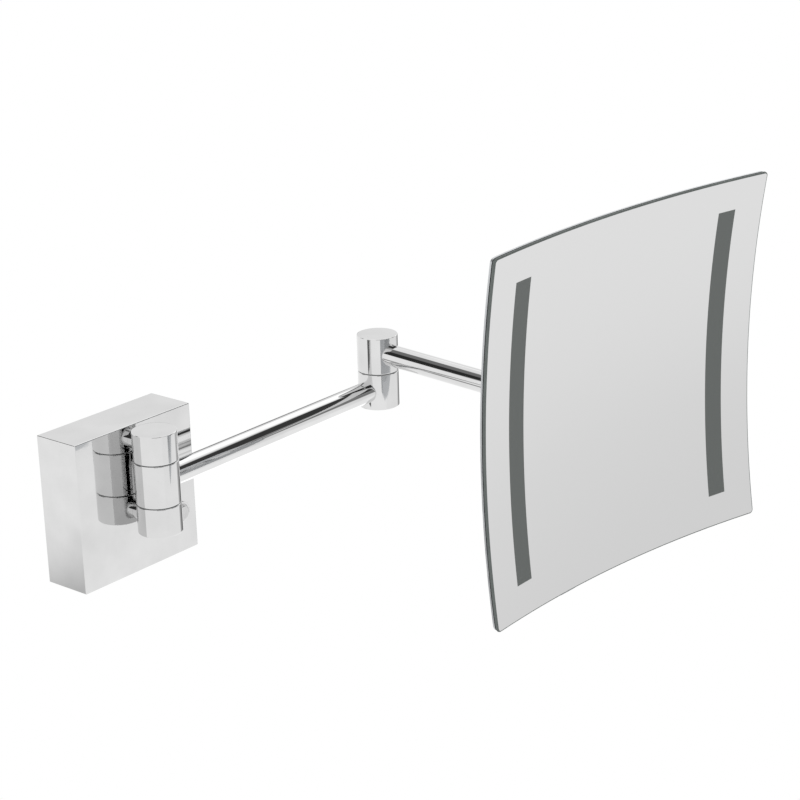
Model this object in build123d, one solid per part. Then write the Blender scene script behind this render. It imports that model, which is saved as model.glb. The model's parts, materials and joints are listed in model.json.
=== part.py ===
from build123d import *
import math
import os

# Extendable shaving mirror: a wall box with a push button, two tubular arms stacked on
# barrel hinges, and a square concave mirror with two light windows on a ball joint.
# Millimetres. The origin is the middle of the wall box's back face, which lies on the
# wall plane Y = 0. The room is towards -Y, +X runs along the wall and +Z is up.

# How far a cut runs past the face it opens
cut_past = 1.0

# Wall box
box_side = 82.8
box_depth = 28.8
cover_wall = 2.0
cover_front = 2.5
cover_edge_break = 0.5
bracket_thickness = 2.5
bracket_gap = 0.3
flange_width = 56.0
flange_depth = 17.0
flange_thickness = 2.0
wall_screw_spacing_x = 60.0
wall_screw_spacing_z = 62.0
wall_screw_hole_radius = 2.5
inlet_z = 14.0
inlet_hole_radius = 7.0
inlet_bore_radius = 3.5
grommet_lip = 2.0
grub_radius = 2.0
grub_spacing = 44.0
grub_y = 11.0

# Driver, terminal block
driver_width = 24.0
driver_height = 42.0
driver_depth = 18.0
driver_corner = 1.5
driver_x = -24.0
driver_ear = 5.5
driver_ear_width = 9.0
driver_ear_thickness = 3.0
terminal_width = 22.0
terminal_height = 11.0
terminal_depth = 13.0
terminal_x = 24.0
terminal_z = 8.0
terminal_ways = 3
terminal_screw_radius = 1.6

# Push button
switch_x = 30.0
switch_z = -18.2
bezel_radius = 6.0
bezel_height = 1.0
bezel_tail_radius = 5.2
bezel_tail_length = 8.0
button_radius = 4.3
button_clearance = 0.08
button_proud = 1.6
button_length = 6.0
button_travel = 1.5
button_stem_radius = 1.8
nut_across_flats = 13.0
nut_thickness = 2.4
switch_body_radius = 6.2
switch_body_length = 9.0
switch_terminal_length = 4.0

blade_thickness = 0.8
blade_width = 2.4
button_edge = 0.8

# Barrel hinges
barrel_radius = 12.0
barrel_break = 0.25
barrel_gap = 3.4
hinge_top_drop = 0.2
hinge_end_height = 15.9
hinge_mid_height = 23.5
washer_thickness = 0.4
washer_inset = 0.35
washer_play = 0.05
neck_radius = 5.0
neck_screw_radius = 2.5
neck_screw_depth = 9.5
neck_screw_head_radius = 4.5
neck_screw_head_height = 3.2
pin_radius = 3.5
pin_head_radius = 5.0
pin_head_height = 2.6
pin_recess = 0.8
pin_end_cover = 4.5
bush_wall = 1.5
running_clearance = 0.05
socket_wall = 1.5
hex_key_radius = 1.7
hex_key_depth = 1.6

# Arms
tube_radius = 6.35
tube_wall = 1.2
arm1_length = 183.8
arm1_angle = 0.68
arm2_length = 140.5
arm2_angle = -96.5
arm2_rise = 22.2
elbow_lower_height = 21.3
elbow_upper_height = 21.7
lead_radius = 1.5
lead_gap = 1.0

# Head mount and ball joint
head_rise = 18.3
ball_reach = 23.0
head_yaw = -9.34
head_pitch = -2.92
head_roll = 2.52
ball_radius = 8.0
stud_radius = 3.5
liner_wall = 1.2
socket_cup_wall = 2.2
tilt_limit = 25.0
tilt_margin = 3.0
socket_flange_radius = 19.0
socket_flange_thickness = 2.5
socket_screw_circle = 15.8
socket_screw_count = 3
socket_screw_radius = 1.25
socket_lip = 0.3
socket_cover = 1.2
socket_rim_break = 1.6
small_head_height = 1.2
small_key_radius = 1.0
small_key_depth = 0.8
tilt_pin_radius = 1.25
tilt_pin_cover = 0.25

# Head
mirror_side = 200.0
mirror_corner = 2.5
dish_radius = 600.0
glass_front = 17.0
glass_thickness = 2.0
coating_thickness = 0.2
coating_inset = 0.6
plate_thickness = 1.2
plate_inset = 0.2
window_width = 11.5
window_height = 164.3
window_offset = 74.85
diffuser_gap = 0.15
lug_x = -40.5
lug_width = 13.0
lug_proud = 1.6
lug_corner = 1.5
housing_side = 172.0
housing_back_side = 148.0
housing_corner = 14.0
housing_back_corner = 9.0
housing_back = 3.0
housing_taper_height = 12.0
housing_wall = 2.0
housing_ledge = 8.0
housing_ledge_side = 159.0
housing_ledge_corner = 7.0
boss_radius = 4.0
boss_x = 50.0
boss_edge_gap = 10.0
housing_screw_radius = 1.5
housing_screw_head_radius = 2.8
housing_screw_head_height = 1.4
housing_screw_grip = 0.9
housing_key_radius = 1.2
housing_key_depth = 0.9
head_block = 60.0
led_board_width = 8.0
led_board_thickness = 1.6
led_board_end_gap = 5.0
led_size = 3.0
led_height = 1.0
led_count = 12

# Derived places
hinge_y = -(box_depth + barrel_gap + barrel_radius)
hinge_top = box_side / 2 - hinge_top_drop
hinge_top_low = hinge_top - hinge_end_height
hinge_mid_high = hinge_top_low - washer_thickness
hinge_mid_low = hinge_mid_high - hinge_mid_height
hinge_bottom_high = hinge_mid_low - washer_thickness
hinge_bottom = hinge_bottom_high - hinge_end_height
arm1_z = (hinge_mid_high + hinge_mid_low) / 2
arm2_z = arm1_z + arm2_rise
head_z = arm2_z + head_rise
neck_top_z = (hinge_top + hinge_top_low) / 2
neck_bottom_z = (hinge_bottom + hinge_bottom_high) / 2
bush_radius = pin_radius + bush_wall
socket_floor = bush_radius + socket_wall
swivel_height = head_rise - washer_thickness


def polar(x, y, length, angle):
    """Point at a distance and an angle in the XY plane."""
    turn = math.radians(angle)
    return x + length * math.cos(turn), y + length * math.sin(turn)


elbow_x, elbow_y = polar(0, hinge_y, arm1_length, arm1_angle)
swivel_x, swivel_y = polar(elbow_x, elbow_y, arm2_length, arm2_angle)
head_bearing = head_yaw - 90.0
ball_x, ball_y = polar(swivel_x, swivel_y, ball_reach, head_bearing)


def head_axes():
    """The head's own right, up and outward directions."""
    yaw, pitch, roll = (math.radians(angle) for angle in (head_yaw, head_pitch, head_roll))
    outward = Vector(math.sin(yaw) * math.cos(pitch), -math.cos(yaw) * math.cos(pitch),
                     math.sin(pitch))
    level = Vector(math.cos(yaw), math.sin(yaw), 0)
    upright_axis = outward.cross(level)
    right = level * math.cos(roll) + upright_axis * math.sin(roll)
    return level, right, outward


tilt_axis, head_right, head_out = head_axes()

# Frames: X of an arm's frame runs along that arm, Z of the head's frame faces the user.
hinge_frame = Location((0, hinge_y, 0))
arm1_frame = Location((0, hinge_y, arm1_z), (0, 0, arm1_angle))
elbow_from_arm1 = Location((elbow_x, elbow_y, arm1_z), (0, 0, arm1_angle + 180))
elbow_from_arm2 = Location((elbow_x, elbow_y, arm2_z), (0, 0, arm2_angle))
swivel_from_arm2 = Location((swivel_x, swivel_y, arm2_z), (0, 0, arm2_angle + 180))
mount_frame = Location((swivel_x, swivel_y, head_z), (0, 0, head_bearing))
head_frame = Plane(origin=(ball_x, ball_y, head_z), x_dir=head_right, z_dir=head_out).location


def upright(radius, low, high, x=0.0, y=0.0):
    """Cylinder along Z."""
    return Pos(x, y, (low + high) / 2) * Cylinder(radius, high - low)


def along_x(radius, start, end, y=0.0, z=0.0):
    """Cylinder along X."""
    return Pos((start + end) / 2, y, z) * Rot(0, 90, 0) * Cylinder(radius, end - start)


def along_y(radius, start, end, x=0.0, z=0.0):
    """Cylinder along Y."""
    return Pos(x, (start + end) / 2, z) * Rot(90, 0, 0) * Cylinder(radius, end - start)


def block(low, high):
    """Box between two corners."""
    size = [b - a for a, b in zip(low, high)]
    middle = [(a + b) / 2 for a, b in zip(low, high)]
    return Pos(*middle) * Box(*size)


def group(pieces):
    """Several separate solids held in one node."""
    solids = [solid for piece in pieces for solid in piece.solids()]
    return Compound(children=solids)


def grid(spacing_x, spacing_z):
    """The four corners of a rectangle in the wall plane."""
    return [(x * spacing_x / 2, z * spacing_z / 2) for x in (-1, 1) for z in (-1, 1)]


def barrel(low, high):
    """Turned hinge section about Z with slightly broken rims."""
    body = upright(barrel_radius, low, high)
    return chamfer(body.edges().filter_by(GeomType.CIRCLE), barrel_break)


def pin_with_head(low, shoulder, high):
    """Hinge pin about Z: a socket head from low to shoulder, then a plain shank."""
    pin = upright(pin_head_radius, low, shoulder) + upright(pin_radius, shoulder, high)
    key = Pos(0, 0, low) * extrude(RegularPolygon(hex_key_radius, 6), hex_key_depth)
    return pin - key


def washer(low, high):
    """Thin nylon ring that shows as the seam between two hinge sections."""
    ring = upright(barrel_radius - washer_inset, low, high)
    return ring - upright(pin_radius + running_clearance, low, high)


# Wall unit
def wall_bracket():
    """Steel plate on the wall, with a bent flange above and below."""
    half = box_side / 2 - cover_wall - bracket_gap
    plate = block((-half, -bracket_thickness, -half), (half, 0, half))
    for low, high in ((-half, flange_thickness - half), (half - flange_thickness, half)):
        plate += block((-flange_width / 2, -flange_depth, low), (flange_width / 2, 0, high))
    for x, z in grid(wall_screw_spacing_x, wall_screw_spacing_z):
        plate -= along_y(wall_screw_hole_radius, -bracket_thickness, 0, x, z)
    plate -= along_y(inlet_hole_radius, -bracket_thickness, 0, 0, inlet_z)
    for x, y in grub_places():
        plate -= upright(grub_radius, -half, flange_thickness - half, x, y)
    for x, z in driver_screw_places():
        plate -= along_y(socket_screw_radius, -bracket_thickness, 0, x, z)
    return plate


def wall_box_cover():
    """Square chrome shell, open towards the wall."""
    half = box_side / 2
    cover = block((-half, -box_depth, -half), (half, 0, half))
    cover = chamfer(cover.edges().filter_by_position(Axis.Y, -box_depth - cut_past, -cut_past),
                    cover_edge_break)
    inner = half - cover_wall
    cover -= block((-inner, cover_front - box_depth, -inner), (inner, 0, inner))
    for z in (neck_top_z, neck_bottom_z):
        cover -= along_y(neck_screw_radius, -box_depth, cover_front - box_depth, 0, z)
    cover -= along_y(bezel_tail_radius, -box_depth, cover_front - box_depth, switch_x, switch_z)
    for x, y in grub_places():
        cover -= upright(grub_radius, -half, -inner, x, y)
    return cover


def grub_places():
    """Where the grub screws stand in the cover's underside."""
    return [(-grub_spacing / 2, -grub_y), (grub_spacing / 2, -grub_y)]


def cover_grub_screws():
    """Two socket grub screws that clamp the cover to the bracket's lower flange."""
    low = -box_side / 2 + cover_edge_break
    high = -box_side / 2 + cover_wall + bracket_gap + flange_thickness + 1.0
    screws = []
    for x, y in grub_places():
        key = Pos(x, y, low) * extrude(RegularPolygon(hex_key_radius / 1.5, 6), hex_key_depth)
        screws.append(upright(grub_radius, low, high, x, y) - key)
    return group(screws)


def lead_grommet():
    """Rubber ring in the bracket's lead hole."""
    ring = along_y(inlet_hole_radius, -bracket_thickness, 0, 0, inlet_z)
    ring += along_y(inlet_hole_radius + grommet_lip, -bracket_thickness - grommet_lip,
                    -bracket_thickness, 0, inlet_z)
    return ring - along_y(inlet_bore_radius, -bracket_thickness - grommet_lip, 0, 0, inlet_z)


def driver_screw_places():
    """The two driver screws, one in each ear."""
    reach = (driver_height + driver_ear) / 2
    return [(driver_x, -reach), (driver_x, reach)]


def led_driver():
    """Moulded low-voltage driver with an ear at each end."""
    back = -bracket_thickness
    low = (driver_x - driver_width / 2, back - driver_depth, -driver_height / 2)
    high = (driver_x + driver_width / 2, back, driver_height / 2)
    case = block(low, high)
    case = fillet(case.edges().filter_by_position(Axis.Y, back - driver_depth - cut_past,
                                                     back - cut_past), driver_corner)
    reach = driver_height / 2 + driver_ear
    case += block((driver_x - driver_ear_width / 2, back - driver_ear_thickness, -reach),
                  (driver_x + driver_ear_width / 2, back, reach))
    for x, z in driver_screw_places():
        case -= along_y(socket_screw_radius, back - driver_ear_thickness, back, x, z)
    return case


def driver_screws():
    """Two small pan-head screws through the driver's ears."""
    face = -bracket_thickness - driver_ear_thickness
    screws = []
    for x, z in driver_screw_places():
        screw = along_y(socket_screw_radius, face, -0.3, x, z)
        screws.append(screw + along_y(2 * socket_screw_radius, face - small_head_height, face, x, z))
    return group(screws)


def terminal_block():
    """Three-way screw terminal for the supply lead."""
    back = -bracket_thickness
    low = (terminal_x - terminal_width / 2, back - terminal_depth,
           terminal_z - terminal_height / 2)
    high = (terminal_x + terminal_width / 2, back, terminal_z + terminal_height / 2)
    body = block(low, high)
    pitch = terminal_width / terminal_ways
    for way in range(terminal_ways):
        x = low[0] + pitch * (way + 0.5)
        body -= along_y(terminal_screw_radius, low[1], low[1] + 5.0, x, terminal_z)
        body -= upright(terminal_screw_radius, low[2], low[2] + 4.0, x, low[1] + 8.0)
    return body


def switch_bezel():
    """Chrome ring with a threaded tail through the cover's front."""
    face = -box_depth
    ring = along_y(bezel_radius, face - bezel_height, face, switch_x, switch_z)
    ring = fillet(ring.edges().group_by(Axis.Y)[0], bezel_height / 2)
    ring += along_y(bezel_tail_radius, face, face + bezel_tail_length, switch_x, switch_z)
    hole = button_radius + button_clearance
    return ring - along_y(hole, face - bezel_height, face + bezel_tail_length, switch_x, switch_z)


def switch_button():
    """Round push button with a stem."""
    front = -box_depth - bezel_height - button_proud
    cap = along_y(button_radius, front, front + button_length, switch_x, switch_z)
    cap = fillet(cap.edges().group_by(Axis.Y)[0], button_edge)
    stem_end = -box_depth + bezel_tail_length + 0.5
    return cap + along_y(button_stem_radius, front + button_length, stem_end, switch_x, switch_z)


def switch_nut():
    """Hexagonal nut that clamps the bezel behind the cover's front."""
    inside = -box_depth + cover_front
    outline = RegularPolygon(nut_across_flats / 2, 6, major_radius=False)
    nut = Pos(switch_x, inside, switch_z) * Rot(-90, 0, 0) * extrude(outline, nut_thickness)
    return nut - along_y(bezel_tail_radius, inside, inside + nut_thickness, switch_x, switch_z)


def switch_body():
    """Sealed switch behind the bezel, with room for the button's stem."""
    front = -box_depth + bezel_tail_length
    back = front + switch_body_length
    body = along_y(switch_body_radius, front, back, switch_x, switch_z)
    stem_room = button_travel + 1.0
    body -= along_y(button_stem_radius + button_clearance, front, front + stem_room,
                    switch_x, switch_z)
    for x in (-2.5, 2.5):
        body += block((switch_x + x - blade_thickness / 2, back, switch_z - blade_width / 2),
                      (switch_x + x + blade_thickness / 2, back + switch_terminal_length,
                       switch_z + blade_width / 2))
    return body


def hinge_neck(z):
    """Neck from a hinge section back to the box face, in the hinge's frame."""
    return along_y(neck_radius, 0, -box_depth - hinge_y, 0, z)


def neck_screw_hole(z):
    """Threaded hole in a neck, from the box face."""
    face = -box_depth - hinge_y
    return along_y(neck_screw_radius, face - neck_screw_depth, face, 0, z)


def hinge_post_top():
    """Upper fixed hinge section, blind from above."""
    post = barrel(hinge_top_low, hinge_top) + hinge_neck(neck_top_z)
    post -= upright(pin_radius, hinge_top_low, hinge_top - pin_end_cover)
    return hinge_frame * (post - neck_screw_hole(neck_top_z))


def hinge_post_bottom():
    """Lower fixed hinge section, counterbored for the pin's head."""
    shoulder = hinge_bottom + pin_recess + pin_head_height
    post = barrel(hinge_bottom, hinge_bottom_high) + hinge_neck(neck_bottom_z)
    post -= upright(pin_radius, hinge_bottom, hinge_bottom_high)
    post -= upright(pin_head_radius, hinge_bottom, shoulder)
    return hinge_frame * (post - neck_screw_hole(neck_bottom_z))


def neck_screws():
    """Socket-head screws from inside the box into the two necks."""
    face = -box_depth + cover_front
    screws = []
    for z in (neck_top_z, neck_bottom_z):
        screw = along_y(neck_screw_radius, -box_depth - neck_screw_depth + 1.0, face, 0, z)
        screw += along_y(neck_screw_head_radius, face, face + neck_screw_head_height, 0, z)
        screws.append(screw)
    return group(screws)


def hinge_pin():
    """Long pin through all three hinge sections."""
    low = hinge_bottom + pin_recess
    pin = pin_with_head(low, low + pin_head_height, hinge_top - pin_end_cover)
    return hinge_frame * pin


def hinge_washers():
    """The two seam washers of the wall hinge."""
    rings = [washer(hinge_mid_high, hinge_top_low), washer(hinge_bottom_high, hinge_mid_low)]
    return group([hinge_frame * ring for ring in rings])


# First arm
def hinge_bush():
    """Nylon bush pressed into the turning hinge section."""
    low, high = -hinge_mid_height / 2 + washer_play, hinge_mid_height / 2 - washer_play
    sleeve = upright(bush_radius, low, high)
    return arm1_frame * (sleeve - upright(pin_radius + running_clearance, low, high))


def arm1_barrel():
    """Middle hinge section, which carries the first arm."""
    low, high = -hinge_mid_height / 2 + washer_play, hinge_mid_height / 2 - washer_play
    section = barrel(low, high) - upright(bush_radius, low, high)
    return arm1_frame * (section - along_x(tube_radius, socket_floor, barrel_radius + cut_past))


def arm_tube(length):
    """Polished tube between the sockets of two barrels."""
    tube = along_x(tube_radius, socket_floor, length - socket_floor)
    return tube - along_x(tube_radius - tube_wall, socket_floor, length - socket_floor)


def arm_lead(length):
    """Two-core lead lying in an arm tube."""
    drop = tube_radius - tube_wall - lead_radius - running_clearance
    return along_x(lead_radius, socket_floor + lead_gap, length - socket_floor - lead_gap, 0, -drop)


def elbow_lower():
    """Lower elbow section on the end of the first arm."""
    high = arm2_z - arm1_z - (elbow_upper_height / 2) - washer_thickness
    section = barrel(high - elbow_lower_height, high)
    section -= upright(pin_radius, high - elbow_lower_height, high)
    section -= upright(pin_head_radius, high - elbow_lower_height,
                       high - elbow_lower_height + pin_recess + pin_head_height)
    section -= along_x(tube_radius, socket_floor, barrel_radius + cut_past)
    return elbow_from_arm1 * section


def elbow_pin():
    """Pin pressed into the lower elbow section from below."""
    seam = -elbow_upper_height / 2 - washer_thickness
    low = seam - elbow_lower_height + pin_recess
    pin = pin_with_head(low, low + pin_head_height, elbow_upper_height / 2 - pin_end_cover)
    return elbow_from_arm2 * pin


def elbow_washer():
    """Seam washer of the elbow."""
    high = -elbow_upper_height / 2
    return elbow_from_arm2 * washer(high - washer_thickness, high)


# Second arm
def turning_section(height):
    """Upper section of a two-part hinge about Z, blind from above, with a bush bore."""
    low = -height / 2 + washer_play
    section = barrel(low, height / 2)
    return section - upright(bush_radius, low, height / 2 - pin_end_cover + washer_play)


def turning_bush(height):
    """Nylon bush pressed into an upper hinge section."""
    low, high = -height / 2 + washer_play, height / 2 - pin_end_cover
    return upright(bush_radius, low, high) - upright(pin_radius + running_clearance, low, high)


def elbow_upper():
    """Upper elbow section, which carries the second arm."""
    section = turning_section(elbow_upper_height)
    section -= along_x(tube_radius, socket_floor, barrel_radius + cut_past)
    return elbow_from_arm2 * section


def swivel_lower():
    """Lower swivel section on the end of the second arm."""
    low, high = -swivel_height / 2, swivel_height / 2
    section = barrel(low, high) - upright(pin_radius, low, high)
    section -= upright(pin_head_radius, low, low + pin_recess + pin_head_height)
    section -= along_x(tube_radius, socket_floor, barrel_radius + cut_past)
    return swivel_from_arm2 * section


def swivel_pin():
    """Pin pressed into the lower swivel section from below."""
    low = -head_rise - swivel_height / 2 + pin_recess
    pin = pin_with_head(low, low + pin_head_height, swivel_height / 2 - pin_end_cover)
    return mount_frame * pin


def swivel_washer():
    """Seam washer of the swivel."""
    high = -swivel_height / 2
    return mount_frame * washer(high - washer_thickness, high)


# Head mount
def swivel_upper():
    """Upper swivel section, with a threaded hole for the ball stud."""
    section = turning_section(swivel_height)
    return mount_frame * (section - along_x(stud_radius, socket_floor, barrel_radius + cut_past))


def ball_stud():
    """Ball on a threaded shank, drilled across for the tilt pin."""
    stud = along_x(stud_radius, socket_floor, ball_reach)
    ball = Pos(ball_reach, 0, 0) * Sphere(ball_radius)
    return mount_frame * (stud + ball) - cross_pin(tilt_pin_radius, 2 * ball_radius)


def cross_pin(radius, half_length):
    """Round bar across the ball, on the tilt axis."""
    return mount_frame * along_y(radius, -half_length, half_length, ball_reach, 0)


def tilt_pin():
    """Steel pin across the ball, on which the nylon cup tilts."""
    return cross_pin(tilt_pin_radius,
                     ball_radius + running_clearance + liner_wall - tilt_pin_cover)


# Ball joint and head, in the head's frame: the ball's centre is the origin
def mouth_depth():
    """How far behind the ball's centre the socket's mouth lies, so the stud can tilt."""
    reach = tilt_limit + tilt_margin + math.degrees(math.asin(stud_radius / ball_radius))
    return ball_radius * math.cos(math.radians(reach))


def ball_liner():
    """Nylon cup round the ball, which tilts with the head."""
    shell = Sphere(ball_radius + running_clearance + liner_wall)
    shell -= Sphere(ball_radius + running_clearance)
    cup = head_frame * (shell - below(-mouth_depth()))
    return cup - cross_pin(tilt_pin_radius + running_clearance, 2 * ball_radius)


def below(height):
    """Large block under a level, for cutting."""
    reach = 4 * ball_radius
    return block((-reach, -reach, height - 2 * reach), (reach, reach, height))


def cup_radius():
    """Outer radius of the socket cup."""
    return ball_radius + liner_wall + 2 * running_clearance + socket_cup_wall


def ball_socket():
    """Turned chrome cup with a flange on the housing's back."""
    cavity = ball_radius + liner_wall + 2 * running_clearance
    rim = -mouth_depth() - socket_lip
    front = cavity + socket_cover
    cup = upright(cup_radius(), rim, front)
    cup = chamfer(cup.edges().group_by(Axis.Z)[0], socket_rim_break)
    cup += upright(socket_flange_radius, housing_back - socket_flange_thickness, housing_back)
    cup -= Sphere(cavity)
    cup -= upright(math.sqrt(cavity ** 2 - mouth_depth() ** 2), rim - cut_past,
                   -mouth_depth())
    for x, y in socket_screw_places():
        cup -= upright(socket_screw_radius, housing_back - socket_flange_thickness, housing_back,
                       x, y)
    return head_frame * cup


def socket_screw_places():
    """Screws spaced evenly round the socket's flange."""
    step = 360.0 / socket_screw_count
    return [polar(0, 0, socket_screw_circle, 90 + step * turn)
            for turn in range(socket_screw_count)]


def socket_screws():
    """Pan-head screws that hold the socket to the housing."""
    face = housing_back - socket_flange_thickness
    screws = []
    for x, y in socket_screw_places():
        screw = upright(socket_screw_radius, face, housing_back + housing_wall, x, y)
        head = upright(2 * socket_screw_radius, face - small_head_height, face, x, y)
        key = Pos(x, y, face - small_head_height) * extrude(RegularPolygon(small_key_radius, 6),
                                                            small_key_depth)
        screws.append(screw + head - key)
    return group([head_frame * screw for screw in screws])


def dish_ball(depth):
    """Ball whose lower skin lies a given depth behind the glass's front surface."""
    return Pos(0, 0, glass_front + dish_radius) * Rot(90, 0, 0) * Sphere(dish_radius + depth)


def column(width, height, corner, x=0.0, low=-head_block, high=head_block):
    """Rounded upright block through the head."""
    outline = RectangleRounded(width, height, corner) if corner else Rectangle(width, height)
    return Pos(x, 0, low) * extrude(outline, high - low)


def dish_layer(front, back, outline):
    """The part of an outline block between two depths behind the glass's front."""
    return (outline & dish_ball(back)) - dish_ball(front)


def mirror_glass():
    """Concave square of glass."""
    outline = column(mirror_side, mirror_side, mirror_corner)
    return head_frame * dish_layer(0, glass_thickness, outline)


def windows(gap, low=-head_block):
    """The two light windows, as blocks through the head."""
    size = (window_width - 2 * gap, window_height - 2 * gap)
    return [column(*size, 0, side * window_offset, low) for side in (-1, 1)]


def mirror_coating():
    """Silvering behind the glass, cleared over the two light windows."""
    side = mirror_side - 2 * coating_inset
    outline = column(side, side, mirror_corner)
    for window in windows(0):
        outline -= window
    return head_frame * dish_layer(glass_thickness, glass_thickness + coating_thickness, outline)


def backing_plate():
    """Curved metal plate behind the glass, slotted for the diffusers."""
    side = mirror_side - 2 * plate_inset
    front = glass_thickness + coating_thickness
    outline = column(side, side, mirror_corner)
    lug = column(lug_width, 2 * lug_proud, lug_corner, lug_x)
    outline += Pos(0, -side / 2, 0) * lug
    for window in windows(0):
        outline -= window
    plate = dish_layer(front, front + plate_thickness, outline)
    for x, y in boss_places():
        plate -= upright(housing_screw_radius, 0, screw_tip(x, y), x, y)
    return head_frame * plate


def dish_height(x, y, depth):
    """Height of the dish surface at a point, for a depth behind the glass's front."""
    radius = dish_radius + depth
    return glass_front + dish_radius - math.sqrt(radius ** 2 - x ** 2 - y ** 2)


def screw_tip(x, y):
    """Where a housing screw ends, inside the backing plate."""
    back = glass_thickness + coating_thickness + plate_thickness
    return dish_height(x, y, back) + housing_screw_grip


def diffusers():
    """Frosted strips that fill the slots, left and right."""
    front = glass_thickness + coating_thickness
    return [head_frame * dish_layer(front, front + plate_thickness, window)
            for window in windows(diffuser_gap)]


def boss_places():
    """The four screw bosses in the housing."""
    y = housing_back_side / 2 - boss_edge_gap
    return [(sx * boss_x, sy * y) for sx in (-1, 1) for sy in (-1, 1)]


def housing_outside():
    """Solid outer form of the housing: sloping sides, then a straight lip."""
    low, high = housing_back, housing_back + housing_taper_height
    small = Pos(0, 0, low) * RectangleRounded(housing_back_side, housing_back_side,
                                              housing_back_corner)
    large = Pos(0, 0, high) * RectangleRounded(housing_side, housing_side, housing_corner)
    return loft([small, large], ruled=True) + column(housing_side, housing_side, housing_corner,
                                                     0, high)


def back_housing():
    """Shallow square housing behind the plate, open towards it."""
    back = glass_thickness + coating_thickness + plate_thickness
    shell = housing_outside()
    inner = housing_back_side - 4 * housing_wall
    shell -= column(inner, inner, housing_back_corner, 0, housing_back + housing_wall)
    shell -= column(housing_ledge_side, housing_ledge_side, housing_ledge_corner, 0,
                    housing_back + housing_ledge)
    for x, y in boss_places():
        shell += upright(boss_radius, housing_back + housing_wall, head_block, x, y)
    shell -= dish_ball(back)
    shell -= upright(cup_radius(), housing_back, housing_back + housing_wall)
    for x, y in socket_screw_places():
        shell -= upright(socket_screw_radius, housing_back, housing_back + housing_wall, x, y)
    for x, y in boss_places():
        shell -= upright(housing_screw_radius, housing_back, head_block, x, y)
        shell -= upright(housing_screw_head_radius, housing_back,
                         housing_back + housing_screw_head_height, x, y)
    return head_frame * shell


def housing_screws():
    """Four screws from the housing's back into the backing plate."""
    screws = []
    for x, y in boss_places():
        screw = upright(housing_screw_radius, housing_back, screw_tip(x, y), x, y)
        screw += upright(housing_screw_head_radius, housing_back,
                         housing_back + housing_screw_head_height, x, y)
        key = Pos(x, y, housing_back) * extrude(RegularPolygon(housing_key_radius, 6),
                                                housing_key_depth)
        screws.append(screw - key)
    return group([head_frame * screw for screw in screws])


def led_strips():
    """Narrow boards with a row of lamps behind each diffuser."""
    floor = housing_back + housing_ledge
    length = min(window_height, housing_ledge_side) - 2 * led_board_end_gap
    top = floor + led_board_thickness
    strips = []
    for side in (-1, 1):
        x = side * window_offset
        board = block((x - led_board_width / 2, -length / 2, floor),
                      (x + led_board_width / 2, length / 2, top))
        for number in range(led_count):
            y = length * ((number + 0.5) / led_count - 0.5)
            board += block((x - led_size / 2, y - led_size / 2, top),
                           (x + led_size / 2, y + led_size / 2, top + led_height))
        strips.append(head_frame * board)
    return strips


def all_nodes():
    """Every node's name and solid."""
    diffuser_left, diffuser_right = diffusers()
    led_strip_left, led_strip_right = led_strips()
    return {
        "wall_bracket": wall_bracket(),
        "wall_box_cover": wall_box_cover(),
        "cover_grub_screws": cover_grub_screws(),
        "lead_grommet": lead_grommet(),
        "led_driver": led_driver(),
        "driver_screws": driver_screws(),
        "terminal_block": terminal_block(),
        "switch_bezel": switch_bezel(),
        "switch_button": switch_button(),
        "switch_nut": switch_nut(),
        "switch_body": switch_body(),
        "hinge_post_top": hinge_post_top(),
        "hinge_post_bottom": hinge_post_bottom(),
        "neck_screws": neck_screws(),
        "hinge_pin": hinge_pin(),
        "hinge_washers": hinge_washers(),
        "arm1_barrel": arm1_barrel(),
        "hinge_bush": hinge_bush(),
        "arm1_tube": arm1_frame * arm_tube(arm1_length),
        "arm1_lead": arm1_frame * arm_lead(arm1_length),
        "elbow_lower": elbow_lower(),
        "elbow_pin": elbow_pin(),
        "elbow_washer": elbow_washer(),
        "elbow_upper": elbow_upper(),
        "elbow_bush": elbow_from_arm2 * turning_bush(elbow_upper_height),
        "arm2_tube": elbow_from_arm2 * arm_tube(arm2_length),
        "arm2_lead": elbow_from_arm2 * arm_lead(arm2_length),
        "swivel_lower": swivel_lower(),
        "swivel_pin": swivel_pin(),
        "swivel_washer": swivel_washer(),
        "swivel_upper": swivel_upper(),
        "swivel_bush": mount_frame * turning_bush(swivel_height),
        "ball_stud": ball_stud(),
        "tilt_pin": tilt_pin(),
        "ball_liner": ball_liner(),
        "ball_socket": ball_socket(),
        "socket_screws": socket_screws(),
        "back_housing": back_housing(),
        "housing_screws": housing_screws(),
        "backing_plate": backing_plate(),
        "diffuser_left": diffuser_left,
        "diffuser_right": diffuser_right,
        "led_strip_left": led_strip_left,
        "led_strip_right": led_strip_right,
        "mirror_coating": mirror_coating(),
        "mirror_glass": mirror_glass(),
    }


os.makedirs("parts", exist_ok=True)
for name, shape in all_nodes().items():
    export_step(shape, f"parts/{name}.step")
print("elbow", round(elbow_x, 3), round(elbow_y, 3), "swivel", round(swivel_x, 3),
      round(swivel_y, 3), "ball", round(ball_x, 3), round(ball_y, 3), round(head_z, 3))
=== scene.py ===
import json
import math

import bpy
from bpy.props import FloatProperty, FloatVectorProperty, IntProperty, PointerProperty
from mathutils import Matrix, Vector


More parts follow.
